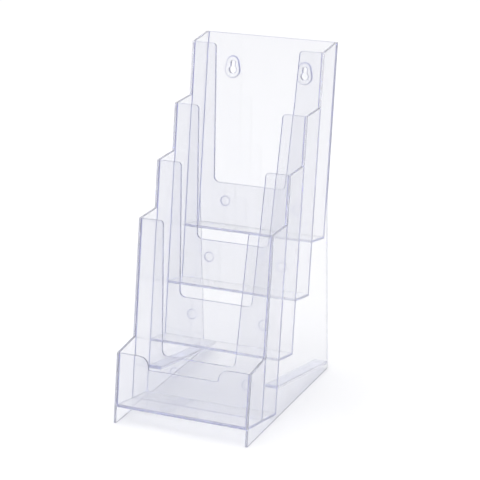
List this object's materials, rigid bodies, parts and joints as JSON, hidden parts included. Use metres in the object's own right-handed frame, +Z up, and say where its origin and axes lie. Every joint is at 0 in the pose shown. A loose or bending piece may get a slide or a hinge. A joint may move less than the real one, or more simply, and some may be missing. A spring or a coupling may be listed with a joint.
{
  "type": "leaflet rack",
  "caption": "Clear moulded counter rack for tall leaflets: leaning pockets stepped up and back behind a low tray, with keyholes in the back panel.",
  "frame": {"origin": "on the table under the middle of the bounding box", "axes": "+X to the right seen from the front, +Y to the back, +Z up"},
  "size_m": [0.11, 0.179, 0.2596],
  "materials": {
    "clear_wall": "clear gloss",
    "clear_rail": "clear gloss"
  },
  "bodies": {
    "root": {"left_side_panel": "clear_wall", "right_side_panel": "clear_wall", "front_lip": "clear_wall", "tray_floor": "clear_wall", "tier_1_front": "clear_wall", "tier_2_front": "clear_wall", "tier_3_front": "clear_wall", "tier_4_front": "clear_wall", "tier_2_floor": "clear_wall", "tier_3_floor": "clear_wall", "tier_4_floor": "clear_wall", "back_panel": "clear_wall", "left_guide_rail": "clear_rail", "right_guide_rail": "clear_rail"}
  },
  "joints": []
}
